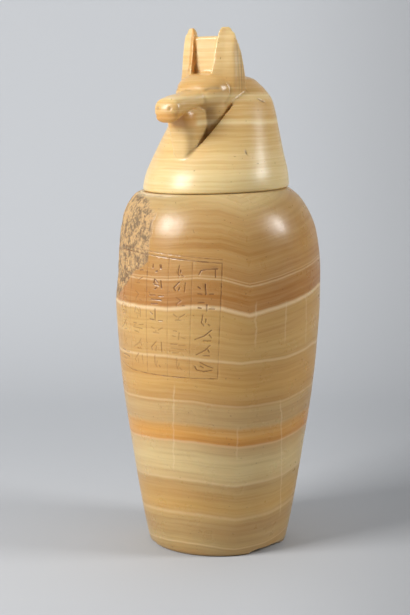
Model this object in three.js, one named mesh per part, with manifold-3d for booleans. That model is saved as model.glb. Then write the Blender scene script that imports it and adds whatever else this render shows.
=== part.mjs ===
// A jackal-headed canopic jar in banded calcite: a hollow shouldered jar and the lid that rests in its mouth.
// Millimetres, +Z up. The origin is the centre of the underside, the jackal looks along -Y and its left is +X.
import * as THREE from "three";
import { mergeVertices } from "three/addons/utils/BufferGeometryUtils.js";
import Module from "manifold-3d";

const wasm = await Module();
wasm.setup();

// ---------- driving dimensions ----------
const totalHeight = 420; // underside to the ear tips
const rimHeight = 292; // underside to the plane of the mouth
const bellyRadius = 83.3; // the widest place
const bellyHeight = 212;
const footRadius = 54; // the flat of the underside
const rimRadius = 59.5; // outer edge of the mouth
const mouthRadius = 41;
const wallThickness = 19; // at the belly
const floorThickness = 26;
const rimShift = new THREE.Vector2(0, -3); // the hand-cut mouth stands off the belly's axis
const rimSlope = new THREE.Vector2(0.025, 0.017); // and rises this much per millimetre along X and Y
const seatGap = 0.3; // lid to mouth
const plugClearance = 2.5; // lid's plug to the mouth, all round
const plugDepth = 13;
const sides = 56; // facets round the turned forms

const lidHeight = totalHeight - rimHeight - seatGap; // lid's seat to the ear tips
const wigRadius = 58.8; // at the seat
const wigHeight = 92;
const wigLean = 17; // how far back the crown of the wig stands

// ---------- helpers ----------
const radians = THREE.MathUtils.degToRad;
const smooth = THREE.MathUtils.smoothstep; // (x, from, to)

// A closed three.js geometry as a solid that can be cut and joined.
function solidFrom(geometry) {
  const bare = geometry.clone();
  bare.deleteAttribute("normal");
  bare.deleteAttribute("uv");
  const merged = mergeVertices(bare, 1e-4);
  const corners = merged.index.array;
  const kept = [];
  for (let i = 0; i < corners.length; i += 3) {
    const [a, b, c] = corners.slice(i, i + 3);
    if (a !== b && b !== c && c !== a) kept.push(a, b, c);
  }
  return new wasm.Manifold(
    new wasm.Mesh({
      numProp: 3,
      vertProperties: merged.attributes.position.array,
      triVerts: new Uint32Array(kept),
    }),
  );
}

function geometryFrom(solid) {
  const mesh = solid.getMesh();
  return new THREE.BufferGeometry()
    .setAttribute("position", new THREE.BufferAttribute(mesh.vertProperties, 3))
    .setIndex(new THREE.BufferAttribute(mesh.triVerts, 1))
    .toNonIndexed();
}

// Moves every vertex of a geometry to where the function puts it.
function moveVertices(geometry, place) {
  const position = geometry.attributes.position;
  const point = new THREE.Vector3();
  for (let i = 0; i < position.count; i++) {
    point.fromBufferAttribute(position, i);
    place(point);
    position.setXYZ(i, point.x, point.y, point.z);
  }
  return geometry;
}

// A closed form laid over a sphere's grid: along runs 0 to 1 from pole to pole, around 0 to 1 about it.
function closedForm(aroundSteps, alongSteps, pointAt) {
  const geometry = new THREE.SphereGeometry(1, aroundSteps, alongSteps);
  const { position, uv } = geometry.attributes;
  for (let i = 0; i < position.count; i++) {
    const along = 1 - uv.getY(i);
    const atPole = along < 1e-6 || along > 1 - 1e-6;
    const p = pointAt(atPole ? 0 : uv.getX(i), along);
    position.setXYZ(i, p.x, p.y, p.z);
  }
  return geometry;
}

function solidForm(aroundSteps, alongSteps, pointAt) {
  const solid = solidFrom(closedForm(aroundSteps, alongSteps, pointAt));
  if (solid.volume() > 0) return solid;
  return solidFrom(closedForm(aroundSteps, alongSteps, (around, along) => pointAt(1 - around, along)));
}

// Smooth interpolation through stations: rows of [key, value, value...], read at a key.
function stationCurve(rows) {
  return (key) => {
    const last = rows.length - 1;
    const clamped = THREE.MathUtils.clamp(key, rows[0][0], rows[last][0]);
    let i = 0;
    while (i < last - 1 && clamped > rows[i + 1][0]) i++;
    const span = rows[i + 1][0] - rows[i][0];
    const t = (clamped - rows[i][0]) / span;
    const slope = (j, k) => {
      const low = Math.max(j - 1, 0);
      const high = Math.min(j + 1, last);
      return (rows[high][k] - rows[low][k]) / (rows[high][0] - rows[low][0]);
    };
    return rows[0].slice(1).map((_, column) => {
      const k = column + 1;
      const h = [2 * t ** 3 - 3 * t ** 2 + 1, t ** 3 - 2 * t ** 2 + t, 3 * t ** 2 - 2 * t ** 3, t ** 3 - t ** 2];
      return h[0] * rows[i][k] + h[1] * span * slope(i, k) + h[2] * rows[i + 1][k] + h[3] * span * slope(i + 1, k);
    });
  };
}

// ---------- jar ----------
function jarProfile() {
  const at = (radius, height) => new THREE.Vector2(radius, height);
  const wall = new THREE.SplineCurve([
    at(footRadius + 3.5, 5),
    at(footRadius + 8.5, 30),
    at(bellyRadius - 14, 72),
    at(bellyRadius - 5.5, 130),
    at(bellyRadius - 0.8, 184),
    at(bellyRadius, bellyHeight),
    at(bellyRadius - 0.5, rimHeight - 54),
    at(bellyRadius - 5, rimHeight - 28),
    at(rimRadius + 8, rimHeight - 8),
    at(rimRadius - 3.5, rimHeight + 3),
  ]);
  const cavityRadius = bellyRadius - wallThickness;
  const hollow = new THREE.Path()
    .moveTo(mouthRadius, rimHeight + 3)
    .lineTo(mouthRadius, rimHeight - 22)
    .bezierCurveTo(cavityRadius - 6, rimHeight - 32, cavityRadius, bellyHeight + 36, cavityRadius, bellyHeight - 14)
    .bezierCurveTo(cavityRadius, 120, footRadius - 10, 60, footRadius - 18, floorThickness + 4)
    .quadraticCurveTo(footRadius - 20, floorThickness, footRadius - 28, floorThickness);
  return [at(0, 0), at(footRadius, 0), at(footRadius + 2.4, 1.6)]
    .concat(wall.getPoints(20))
    .concat(hollow.getPoints(5))
    .concat([at(0, floorThickness)]);
}

// How much of the full dent a place on the wall has: 1 in the middle of a worn patch, 0 outside it.
function patch(point, middleDegrees, halfDegrees, lowHeight, highHeight) {
  const azimuth = THREE.MathUtils.radToDeg(Math.atan2(point.x, -point.y));
  const sideways = 1 - smooth(Math.abs(azimuth - middleDegrees), halfDegrees * 0.5, halfDegrees);
  const upwards = smooth(point.z, lowHeight, lowHeight + 24) * (1 - smooth(point.z, highHeight - 24, highHeight));
  return sideways * upwards;
}

// Takes a point of the level, centred rim or lid to its place on the mouth as it was cut.
function onMouth(point) {
  point.z += rimSlope.x * point.x + rimSlope.y * point.y;
  point.x += rimShift.x;
  point.y += rimShift.y;
}

function makeJar() {
  const wornDepth = 1.9; // the decayed shoulder at the jackal's right
  const turned = new THREE.LatheGeometry(jarProfile(), sides).rotateX(Math.PI / 2);
  moveVertices(turned, (point) => {
    const radius = Math.hypot(point.x, point.y);
    if (radius > rimRadius + 2) {
      const share = 1 - (wornDepth * patch(point, -52, 42, 204, 284)) / radius;
      point.x *= share;
      point.y *= share;
    }
    const shifted = smooth(point.z, bellyHeight + 18, rimHeight - 5);
    point.x += rimShift.x * shifted;
    point.y += rimShift.y * shifted;
  });
  return solidFrom(turned).subtract(aboveMouth()).subtract(footChip());
}

// Everything over the slanting plane of the mouth.
function aboveMouth() {
  const block = new THREE.BoxGeometry(180, 180, 20);
  block.translate(0, 0, 10);
  moveVertices(block, onMouth);
  block.translate(0, 0, rimHeight);
  return solidFrom(block);
}

// The long shallow chip on the foot's edge, at the jackal's left.
function footChip() {
  const chip = new THREE.SphereGeometry(1, 20, 12);
  chip.scale(11, 27, 4.6);
  chip.translate(footRadius + 4, 0, 0);
  chip.rotateZ(radians(-7));
  return solidFrom(chip);
}

// ---------- lid: the wig ----------
const wigOutline = stationCurve([
  // height above the seat, half-width
  [0, wigRadius],
  [5, wigRadius - 0.2],
  [14, wigRadius - 1.8],
  [24, wigRadius - 5.2],
  [44, wigRadius - 12.2],
  [69, wigRadius - 20.9],
  [77, wigRadius - 26.3],
  [82, wigRadius - 31.5],
  [87, wigRadius - 39],
  [wigHeight, 0],
]);
const wigBack = (height) => (wigLean * (1 - Math.cos((Math.PI * height) / wigHeight))) / 2;

function makeWig() {
  const plugRadius = mouthRadius - plugClearance;
  const outline = [[0, -plugDepth], [plugRadius - 1.5, -plugDepth], [plugRadius, 1.5 - plugDepth]]
    .concat([[plugRadius, 0], [wigRadius - 1.2, 0], [wigRadius, 1.2]])
    .concat([7, 14, 22, 31, 42, 54, 66, 74, 80, 85, 89].map((z) => [wigOutline(z)[0], z]))
    .concat([[0, wigHeight]])
    .map(([radius, height]) => new THREE.Vector2(radius, height));
  const turned = new THREE.LatheGeometry(outline, sides).rotateX(Math.PI / 2);
  return solidFrom(
    moveVertices(turned, (point) => {
      if (point.z > 0) point.y += wigBack(point.z);
    }),
  );
}

// ---------- lid: the opening of the wig, the neck and the throat ----------
const openingFoot = 26.5; // lowest point of the wig's front opening
const openingReach = 41; // height over which it widens to the cheeks
const openingHalf = (height) => 25.5 * (Math.max(height - openingFoot, 0) / openingReach) ** 0.55;

function makeOpening() {
  const heights = [0.3, 1.5, 4, 8, 14, 21, 30, openingReach].map((rise) => openingFoot + rise);
  const edge = heights.map((z) => new THREE.Vector2(openingHalf(z), z));
  const mirrored = edge.map((p) => new THREE.Vector2(-p.x, p.y)).reverse();
  const outline = new THREE.Shape([new THREE.Vector2(0, openingFoot), ...edge, ...mirrored]);
  const frontToBack = 64;
  const slab = new THREE.ExtrudeGeometry(outline, { depth: frontToBack, bevelEnabled: false });
  slab.rotateX(Math.PI / 2); // shape's y becomes z, the depth runs along -Y
  slab.translate(0, -12, 0);
  return solidFrom(slab);
}

const superPower = (value, power) => Math.sign(value) * Math.abs(value) ** power;

// A ring's point on a superellipse: around 0 to 1, with half-widths a and b; squareness 1 is an ellipse.
function ringPoint(around, a, b, squareness) {
  const angle = 2 * Math.PI * around;
  return [a * superPower(Math.cos(angle), squareness), b * superPower(Math.sin(angle), squareness)];
}

// Share of the full section near the ends of a form: round over the first and last few millimetres.
function roundedEnd(place, low, high, lowRounding, highRounding) {
  const pastLow = Math.max(low + lowRounding - place, 0) / lowRounding;
  const pastHigh = Math.max(place - high + highRounding, 0) / highRounding;
  return Math.sqrt(Math.max(1 - pastLow ** 2 - pastHigh ** 2, 0));
}

// A lofted upright form: stations give [height, half-width, front, back], and both ends are rounded.
function uprightForm(stations, aroundSteps, alongSteps, squareness) {
  const read = stationCurve(stations);
  const low = stations[0][0];
  const high = stations[stations.length - 1][0];
  return solidForm(aroundSteps, alongSteps, (around, along) => {
    const height = low + ((high - low) * (1 - Math.cos(Math.PI * along))) / 2;
    const dome = roundedEnd(height, low, high, 4, 4);
    const [half, front, back] = read(height);
    const [x, y] = ringPoint(around, half * dome, ((back - front) / 2) * dome, squareness);
    return new THREE.Vector3(x, (front + back) / 2 + y, height);
  });
}

function makeNeck() {
  const stations = [24, 30, 40, 50, 60, 76].map((z) => [
    z,
    THREE.MathUtils.clamp(openingHalf(z) - 1.6, 3, 21),
    -46 + 9 * smooth(z, 28, 58),
    -2,
  ]);
  return uprightForm(stations, 28, 12, 0.95);
}

function makeThroat() {
  const stations = [
    // height, half-width, front, back
    [21, 7.4, -48, -20],
    [27, 8.4, -49.6, -20],
    [34, 10, -50.6, -20],
    [42, 11.6, -52, -20],
    [52, 12.8, -55, -20],
    [60, 12.6, -57, -20],
    [69, 11.5, -55, -20],
  ];
  return uprightForm(stations, 24, 12, 0.7);
}

// ---------- lid: the head ----------
const headStations = [
  // distance in front of the lid's axis, half-width, top, bottom
  [-8, 15, 86, 66],
  [4, 21, 90.5, 61],
  [16, 23, 92.3, 58.5],
  [26, 21.5, 90, 57.5],
  [34, 17, 84.5, 57.5],
  [42, 13.8, 79.5, 58],
  [51, 11.8, 77, 57.5],
  [62, 11.3, 74.8, 55.5],
  [72.5, 10.8, 73, 54.8],
];
const noseRounding = 6;

function makeHead() {
  const read = stationCurve(headStations);
  const back = headStations[0][0];
  const nose = headStations[headStations.length - 1][0];
  return solidForm(28, 24, (around, along) => {
    const forward = back + ((nose - back) * (1 - Math.cos(Math.PI * along))) / 2;
    const dome = roundedEnd(forward, back, nose, 12, noseRounding);
    const [half, top, bottom] = read(forward);
    const [x, z] = ringPoint(around, half * dome, ((top - bottom) / 2) * dome, 0.86);
    return new THREE.Vector3(x, -forward, (top + bottom) / 2 + z);
  });
}

// ---------- lid: the ears and the web between them ----------
// An ear's section is four corners: inner front, outer front, outer back, inner back.
const earStations = [
  // height, then x and y of each corner
  [66, 18, -24, 22.5, -20, 23.5, -12, 17, -10],
  [72, 16, -29, 25, -16, 26, -3, 14, -3],
  [79, 15, -29.5, 26, -12, 27, 3, 12, 2],
  [87, 12.5, -27, 25.8, -10.5, 27, 2.5, 10, 2],
  [94, 11, -22.5, 25.5, -11, 27, 0.8, 9.5, 0],
  [101, 10.8, -19.3, 25.3, -12, 27, -1.4, 10, -1.6],
  [109, 10.8, -17.4, 25.2, -12.6, 27, -4.2, 10.6, -4],
  [116, 11, -16, 24.6, -12.8, 26, -7, 11.2, -6],
  [121, 11.4, -15, 23.2, -12.8, 24, -8.4, 12, -7],
  [124.5, 12.2, -14.2, 21.6, -12.6, 22, -9.2, 12.8, -8],
  [lidHeight, 13.4, -13.4, 19.4, -12.3, 19.4, -10, 14, -9.5],
];
const earHollow = 1.6; // how far the front of the ear is scooped

function makeEar(side) {
  const read = stationCurve(earStations);
  const low = earStations[0][0];
  return solidForm(20, 14, (around, along) => {
    const height = low + ((lidHeight - low) * (1 - Math.cos(Math.PI * along))) / 2;
    const c = read(height);
    const corners = [0, 2, 4, 6].map((i) => new THREE.Vector2(c[i], c[i + 1]));
    const middle = corners.reduce((sum, p) => sum.add(p), new THREE.Vector2()).multiplyScalar(0.25);
    const dome = Math.sin(Math.PI * along) ** 0.3;
    const ring = [];
    corners.forEach((corner, i) => {
      const next = corners[(i + 1) % 4];
      const half = corner.clone().add(next).multiplyScalar(0.5);
      if (i === 0) half.lerp(middle, (earHollow * smooth(height, 84, 94)) / half.distanceTo(middle));
      ring.push(corner.clone().lerp(middle, 0.06), half);
    });
    const curve = new THREE.CatmullRomCurve3(
      ring.map((p) => new THREE.Vector3(p.x, p.y, height)), true, "catmullrom", 0.35,
    );
    const point = curve.getPoint(around % 1);
    point.lerp(new THREE.Vector3(middle.x, middle.y, height), 1 - dome);
    point.x *= side;
    return point;
  });
}

function makeWeb() {
  const web = { half: 13, front: -10, back: -3, foot: 78, top: 121 };
  const slab = new THREE.BoxGeometry(2 * web.half, web.back - web.front, web.top - web.foot);
  slab.translate(0, (web.front + web.back) / 2, (web.foot + web.top) / 2);
  return solidFrom(slab);
}

function makeLid() {
  return makeWig()
    .subtract(makeOpening())
    .add(makeNeck())
    .add(makeThroat())
    .add(makeHead())
    .add(makeWeb())
    .add(makeEar(1))
    .add(makeEar(-1));
}


// ---------- the object ----------
const calcite = new THREE.MeshStandardMaterial({ color: 0xd2a765, roughness: 0.35, metalness: 0 });
const paleCalcite = new THREE.MeshStandardMaterial({ color: 0xe2c286, roughness: 0.35, metalness: 0 });

const canopicJar = new THREE.Group();

const jar = new THREE.Mesh(geometryFrom(makeJar()), calcite);
jar.name = "jar";
canopicJar.add(jar);

const lid = new THREE.Mesh(geometryFrom(makeLid()), paleCalcite);
lid.name = "jackal_lid";
moveVertices(lid.geometry, onMouth);
lid.position.z = rimHeight + seatGap;
canopicJar.add(lid);

export default canopicJar;
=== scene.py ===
import math

import bpy
import numpy as np
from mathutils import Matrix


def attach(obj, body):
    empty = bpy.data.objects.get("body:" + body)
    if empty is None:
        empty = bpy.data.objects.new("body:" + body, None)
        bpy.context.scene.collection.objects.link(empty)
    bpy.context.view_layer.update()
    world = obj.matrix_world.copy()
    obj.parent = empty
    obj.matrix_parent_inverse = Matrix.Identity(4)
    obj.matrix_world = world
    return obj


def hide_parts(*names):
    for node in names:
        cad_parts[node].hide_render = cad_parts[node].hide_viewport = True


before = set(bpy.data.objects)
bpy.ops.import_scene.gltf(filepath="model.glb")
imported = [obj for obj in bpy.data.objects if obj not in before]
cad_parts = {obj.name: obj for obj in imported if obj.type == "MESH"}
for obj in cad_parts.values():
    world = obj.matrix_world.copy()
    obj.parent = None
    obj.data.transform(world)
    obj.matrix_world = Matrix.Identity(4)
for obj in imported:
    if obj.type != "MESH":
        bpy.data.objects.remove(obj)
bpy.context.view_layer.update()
print("frame in")

mm = 0.001  # forms are worked out in millimetres and go into the meshes in metres


# ---- small tools ----
def smooth(value, start, end):  # 3t^2 - 2t^3, with t running 0 to 1 from start to end
    t = np.clip((np.asarray(value, float) - start) / (end - start), 0, 1)
    return t * t * (3 - 2 * t)


def along(value, pairs):  # straight lines between (place, value) pairs
    places, values = np.array(pairs, float).T
    return np.interp(value, places, values)


def stationCurve(rows):
    # cubic Hermite through rows of [place, values...]; each slope comes from the rows on both sides
    rows = np.array(rows, float)
    places, values = rows[:, 0], rows[:, 1:]
    count = len(places)
    before = np.maximum(np.arange(count) - 1, 0)
    after = np.minimum(np.arange(count) + 1, count - 1)
    slopes = (values[after] - values[before]) / (places[after] - places[before])[:, None]

    def read(place):
        place = np.clip(place, places[0], places[-1])
        i = np.clip(np.searchsorted(places, place, side="right") - 1, 0, count - 2)
        span = (places[i + 1] - places[i])[..., None]
        t = (place - places[i])[..., None] / span
        low = (2 * t**3 - 3 * t**2 + 1) * values[i] + (t**3 - 2 * t**2 + t) * span * slopes[i]
        high = (3 * t**2 - 2 * t**3) * values[i + 1] + (t**3 - t**2) * span * slopes[i + 1]
        return low + high

    return read


def lumps(points, size, seed):
    # value noise: random numbers on a repeating block, blended by 3t^2 - 2t^3 between its corners, -1 to 1
    block = np.random.default_rng(seed).uniform(-1, 1, (24, 24, 24))
    q = np.asarray(points, float) / size
    cell = np.floor(q).astype(int)
    t = q - cell
    t = t * t * (3 - 2 * t)
    total = np.zeros(q.shape[:-1])
    for dx in (0, 1):
        for dy in (0, 1):
            for dz in (0, 1):
                wx = t[..., 0] if dx else 1 - t[..., 0]
                wy = t[..., 1] if dy else 1 - t[..., 1]
                wz = t[..., 2] if dz else 1 - t[..., 2]
                corner = (cell + (dx, dy, dz)) % 24
                total += wx * wy * wz * block[corner[..., 0], corner[..., 1], corner[..., 2]]
    return total


def roughLumps(points, size, seed):  # three octaves, each half the size and half as high
    return sum(lumps(points, size / 2**k, seed + k) / 2**k for k in range(3)) / 1.75


def pathDistance(points, path):
    # least distance to a broken line: |p - (a + t(b - a))| with t = (p - a).(b - a) / |b - a|^2 held to 0..1
    path = np.array(path, float)
    best = np.full(len(points), 1e9)
    for a, b in zip(path[:-1], path[1:]):
        step = b - a
        t = np.clip((points - a) @ step / max(step @ step, 1e-9), 0, 1)
        best = np.minimum(best, np.linalg.norm(points - a - t[:, None] * step, axis=1))
    return best


def makePiece(name, points, faces, attributes, material, node):
    mesh = bpy.data.meshes.new(name)
    mesh.from_pydata((points * mm).tolist(), [], faces)
    mesh.polygons.foreach_set("use_smooth", np.ones(len(mesh.polygons), bool))
    for key, values in attributes.items():
        stored = mesh.attributes.new(key, "FLOAT", "POINT")
        stored.data.foreach_set("value", np.asarray(values, np.float32))
    mesh.materials.append(material)
    mesh.update()
    piece = bpy.data.objects.new(name, mesh)
    bpy.context.scene.collection.objects.link(piece)
    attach(piece, "root")
    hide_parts(node)
    triangles = sum(len(p.vertices) - 2 for p in mesh.polygons)
    print(name, len(mesh.vertices), "points", triangles, "triangles")
    return piece


# ---- material tools ----
def colour(red, green, blue):  # display values 0..255 to linear light
    shares = np.array([red, green, blue]) / 255
    linear = np.where(shares <= 0.04045, shares / 12.92, ((shares + 0.055) / 1.055) ** 2.4)
    return (*linear.tolist(), 1.0)


class Shader:
    # a node tree with short calls for the nodes these stones need
    def __init__(self, name):
        self.material = bpy.data.materials.new(name)
        self.material.use_nodes = True
        self.nodes = self.material.node_tree.nodes
        self.links = self.material.node_tree.links
        self.nodes.clear()
        self.surface = self.nodes.new("ShaderNodeBsdfPrincipled")
        output = self.nodes.new("ShaderNodeOutputMaterial")
        self.links.new(self.surface.outputs[0], output.inputs[0])

    def plug(self, socket, value):
        if isinstance(value, bpy.types.NodeSocket):
            self.links.new(value, socket)
        else:
            socket.default_value = value

    def attribute(self, name):
        node = self.nodes.new("ShaderNodeAttribute")
        node.attribute_name = name
        return node.outputs["Fac"]

    def place(self):  # object coordinates in millimetres
        node = self.nodes.new("ShaderNodeTexCoord")
        scaled = self.nodes.new("ShaderNodeVectorMath")
        scaled.operation = "SCALE"
        self.links.new(node.outputs["Object"], scaled.inputs[0])
        scaled.inputs["Scale"].default_value = 1000
        return scaled.outputs[0]

    def split(self, vector):
        node = self.nodes.new("ShaderNodeSeparateXYZ")
        self.links.new(vector, node.inputs[0])
        return node.outputs[0], node.outputs[1], node.outputs[2]

    def join(self, x, y, z):
        node = self.nodes.new("ShaderNodeCombineXYZ")
        for socket, value in zip(node.inputs, (x, y, z)):
            self.plug(socket, value)
        return node.outputs[0]

    def math(self, operation, *values, clamp=False):
        node = self.nodes.new("ShaderNodeMath")
        node.operation = operation
        node.use_clamp = clamp
        for socket, value in zip(node.inputs, values):
            self.plug(socket, value)
        return node.outputs[0]

    def noise(self, vector, scale, detail=2.0, roughness=0.5, distortion=0.0):
        node = self.nodes.new("ShaderNodeTexNoise")
        self.plug(node.inputs["Vector"], vector)
        node.inputs["Scale"].default_value = scale
        node.inputs["Detail"].default_value = detail
        node.inputs["Roughness"].default_value = roughness
        node.inputs["Distortion"].default_value = distortion
        return node.outputs["Fac"]

    def range(self, value, fromLow, fromHigh, toLow=0.0, toHigh=1.0):  # smooth step from one range to another
        node = self.nodes.new("ShaderNodeMapRange")
        node.interpolation_type = "SMOOTHSTEP"
        for socket, number in zip(node.inputs, (value, fromLow, fromHigh, toLow, toHigh)):
            self.plug(socket, number)
        return node.outputs[0]

    def mix(self, share, first, second, blend="MIX"):
        node = self.nodes.new("ShaderNodeMix")
        node.data_type = "RGBA"
        node.blend_type = blend
        self.plug(node.inputs[0], share)
        self.plug(node.inputs[6], first)
        self.plug(node.inputs[7], second)
        return node.outputs[2]

    def ramp(self, value, low, high, stops):  # stops are (place, colour), places in the units of low and high
        share = self.math("DIVIDE", self.math("SUBTRACT", value, low), high - low, clamp=True)
        node = self.nodes.new("ShaderNodeValToRGB")
        elements = node.color_ramp.elements
        while len(elements) > 1:
            elements.remove(elements[-1])
        stops = sorted(stops, key=lambda stop: stop[0])
        elements[0].position = (stops[0][0] - low) / (high - low)
        elements[0].color = stops[0][1]
        for place, tone in stops[1:]:
            elements.new((place - low) / (high - low)).color = tone
        self.links.new(share, node.inputs[0])
        return node.outputs[0]

    def bump(self, height, strength, distance, normal=None):
        node = self.nodes.new("ShaderNodeBump")
        node.inputs["Strength"].default_value = strength
        node.inputs["Distance"].default_value = distance
        self.plug(node.inputs["Height"], height)
        if normal is not None:
            self.links.new(normal, node.inputs["Normal"])
        return node.outputs[0]

    def set(self, name, value):
        self.plug(self.surface.inputs[name], value)


# ---- the banded stone of the jar ----
jarStone = {
    "tones": [  # height of the layer in mm, then its colour
        (0, (167, 135, 84)),
        (10, (171, 141, 89)),
        (13, (176, 146, 93)),
        (30, (175, 141, 87)),
        (36, (190, 155, 95)),
        (44, (196, 153, 82)),
        (56, (190, 151, 87)),
        (64, (186, 153, 97)),
        (67.5, (204, 176, 122)),
        (80, (211, 186, 132)),
        (90, (205, 178, 125)),
        (97.5, (196, 162, 109)),
        (99.3, (198, 135, 55)),
        (106, (211, 151, 67)),
        (112, (198, 147, 77)),
        (115, (188, 153, 100)),
        (129, (192, 157, 102)),
        (133, (190, 146, 80)),
        (146, (198, 151, 79)),
        (160, (194, 147, 79)),
        (169, (196, 155, 89)),
        (185, (202, 160, 93)),
        (202, (196, 155, 89)),
        (207, (171, 116, 55)),
        (216, (175, 118, 54)),
        (225, (180, 130, 70)),
        (232, (182, 135, 79)),
        (246, (188, 141, 79)),
        (262, (184, 141, 82)),
        (276, (190, 155, 100)),
        (288, (198, 171, 120)),
        (295, (204, 180, 131)),
    ],
    "paleLines": [(11.5, 0.5, 0.35), (37.5, 0.9, 0.3), (66.5, 0.7, 0.35), (98.7, 0.7, 0.5), (132, 0.6, 0.4),
                  (167.4, 0.8, 0.55), (204.8, 1.1, 0.95), (227.2, 0.5, 0.55), (229.4, 0.35, 0.35)],
    "veins": [(4, 73, 8.5, 144, 0.35), (46, 84, 46, 111, 0.3), (54.5, 176, 54.5, 211, 0.35), (88, 29, 73, 130, 0.4),
              (73.5, 177, 73.5, 209, 0.35), (92.6, 173, 90, 212, 0.35)],
    "roughness": (0.27, 0.38),
}


def jarMaterial():
    s = Shader("jar_calcite")
    place = s.place()
    x, y, z = s.split(place)
    wander = s.math("MULTIPLY", s.math("SUBTRACT", s.noise(place, 0.035, 2.0), 0.5), 2.4)
    layer = s.math("ADD", s.attribute("layer"), wander)
    base = s.ramp(layer, 0, 300, [(h, colour(*tone)) for h, tone in jarStone["tones"]])
    # fine layering: noise stretched along the layers
    fine = s.noise(s.join(s.math("MULTIPLY", x, 0.012), s.math("MULTIPLY", y, 0.012), s.math("MULTIPLY", layer, 0.42)),
                   1.0, 4.0, 0.6)
    broad = s.noise(s.join(s.math("MULTIPLY", x, 0.008), s.math("MULTIPLY", y, 0.008), s.math("MULTIPLY", layer, 0.09)),
                    1.0, 2.0, 0.5)
    cloud = s.noise(place, 0.028, 3.0, 0.55)
    base = s.mix(s.range(fine, 0.35, 0.75, 0.0, 0.2), base, colour(234, 204, 150))
    base = s.mix(s.range(fine, 0.55, 0.22, 0.0, 0.22), base, colour(150, 98, 50))
    base = s.mix(s.range(broad, 0.4, 0.7, 0.0, 0.22), base, colour(170, 112, 56))
    base = s.mix(s.range(cloud, 0.45, 0.75, 0.0, 0.2), base, colour(202, 156, 92))
    for middle, half, strength in jarStone["paleLines"]:
        away = s.math("ABSOLUTE", s.math("SUBTRACT", layer, middle))
        base = s.mix(s.range(away, half * 2.4, half * 0.2, 0.0, 0.7 * strength), base, colour(244, 214, 168))
    # whitish veins that cross the layers
    degrees = s.math("MULTIPLY", s.math("ARCTAN2", x, s.math("MULTIPLY", y, -1.0)), 180 / math.pi)
    wobble = s.math("MULTIPLY", s.math("SUBTRACT", s.noise(place, 0.12, 2.0), 0.5), 3.0)
    for lowDegrees, lowHeight, highDegrees, highHeight, strength in jarStone["veins"]:
        slope = (highDegrees - lowDegrees) / (highHeight - lowHeight)
        line = s.math("ADD", s.math("MULTIPLY", s.math("SUBTRACT", z, lowHeight), slope), lowDegrees)
        away = s.math("ABSOLUTE", s.math("ADD", s.math("SUBTRACT", degrees, line), wobble))
        reach = s.math("MULTIPLY", s.range(z, lowHeight - 3, lowHeight + 5), s.range(z, highHeight + 3, highHeight - 5))
        base = s.mix(s.math("MULTIPLY", s.range(away, 0.8, 0.1, 0.0, 0.6 * strength), reach), base, colour(246, 222, 184))
    # the decayed shoulder: brown-grey deposit between pale grains
    worn = s.attribute("worn")
    grain = s.noise(place, 0.42, 4.0, 0.6)
    thick = s.noise(place, 0.13, 3.0, 0.6)
    speckle = s.math("ADD", s.math("MULTIPLY", grain, 0.6), s.math("MULTIPLY", thick, 0.7))
    deposit = s.mix(s.range(speckle, 0.54, 0.76), colour(116, 96, 72), colour(200, 162, 112))
    base = s.mix(s.math("MULTIPLY", worn, 0.9), base, deposit)
    fresh = s.attribute("fresh")
    base = s.mix(s.math("MULTIPLY", fresh, 0.6), base, colour(226, 206, 172))
    # dark grains and pin-holes over the whole wall
    pins = s.noise(place, 0.55, 1.0, 0.4)
    base = s.mix(s.range(pins, 0.735, 0.79, 0.0, 0.45), base, colour(96, 62, 34))
    stroke = s.attribute("stroke")
    patchy = s.range(s.noise(place, 0.16, 2.0), 0.3, 0.62, 0.5, 1.0)
    base = s.mix(s.math("MULTIPLY", stroke, patchy), base, colour(112, 72, 42))
    s.set("Base Color", base)
    low, high = jarStone["roughness"]
    polish = s.range(s.noise(place, 0.06, 3.0), 0.35, 0.7, low, high)
    rough = s.math("ADD", polish, s.math("MULTIPLY", worn, 0.4), clamp=True)
    s.set("Roughness", s.math("ADD", rough, s.math("MULTIPLY", fresh, 0.25), clamp=True))
    s.set("IOR", 1.5)
    s.set("Subsurface Weight", 0.18)
    s.set("Subsurface Radius", (1.0, 0.55, 0.25))
    s.set("Subsurface Scale", 0.006)
    fineHeight = s.math("MULTIPLY", s.noise(place, 0.35, 3.0), 0.12)
    wornHeight = s.math("MULTIPLY", s.math("MULTIPLY", grain, worn), 2.2)
    s.set("Normal", s.bump(s.math("ADD", fineHeight, wornHeight), 0.5, 0.0008))
    return s.material


# ---- the paler stone of the lid ----
lidStone = {
    "tones": [
        (278, (217, 190, 134)),
        (292, (225, 200, 143)),
        (306, (227, 202, 145)),
        (322, (223, 192, 132)),
        (334, (219, 182, 117)),
        (343, (215, 176, 112)),
        (346, (229, 200, 138)),
        (349, (213, 174, 109)),
        (356, (211, 169, 102)),
        (362, (217, 178, 114)),
        (366, (229, 198, 136)),
        (370, (210, 167, 102)),
        (380, (213, 172, 109)),
        (392, (223, 190, 131)),
        (420, (225, 194, 136)),
    ],
    "paleLines": [(345.5, 0.8, 0.6), (366.5, 0.7, 0.5), (318, 0.5, 0.3), (356.5, 0.4, 0.3)],
    "roughness": (0.28, 0.36),
}


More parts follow.
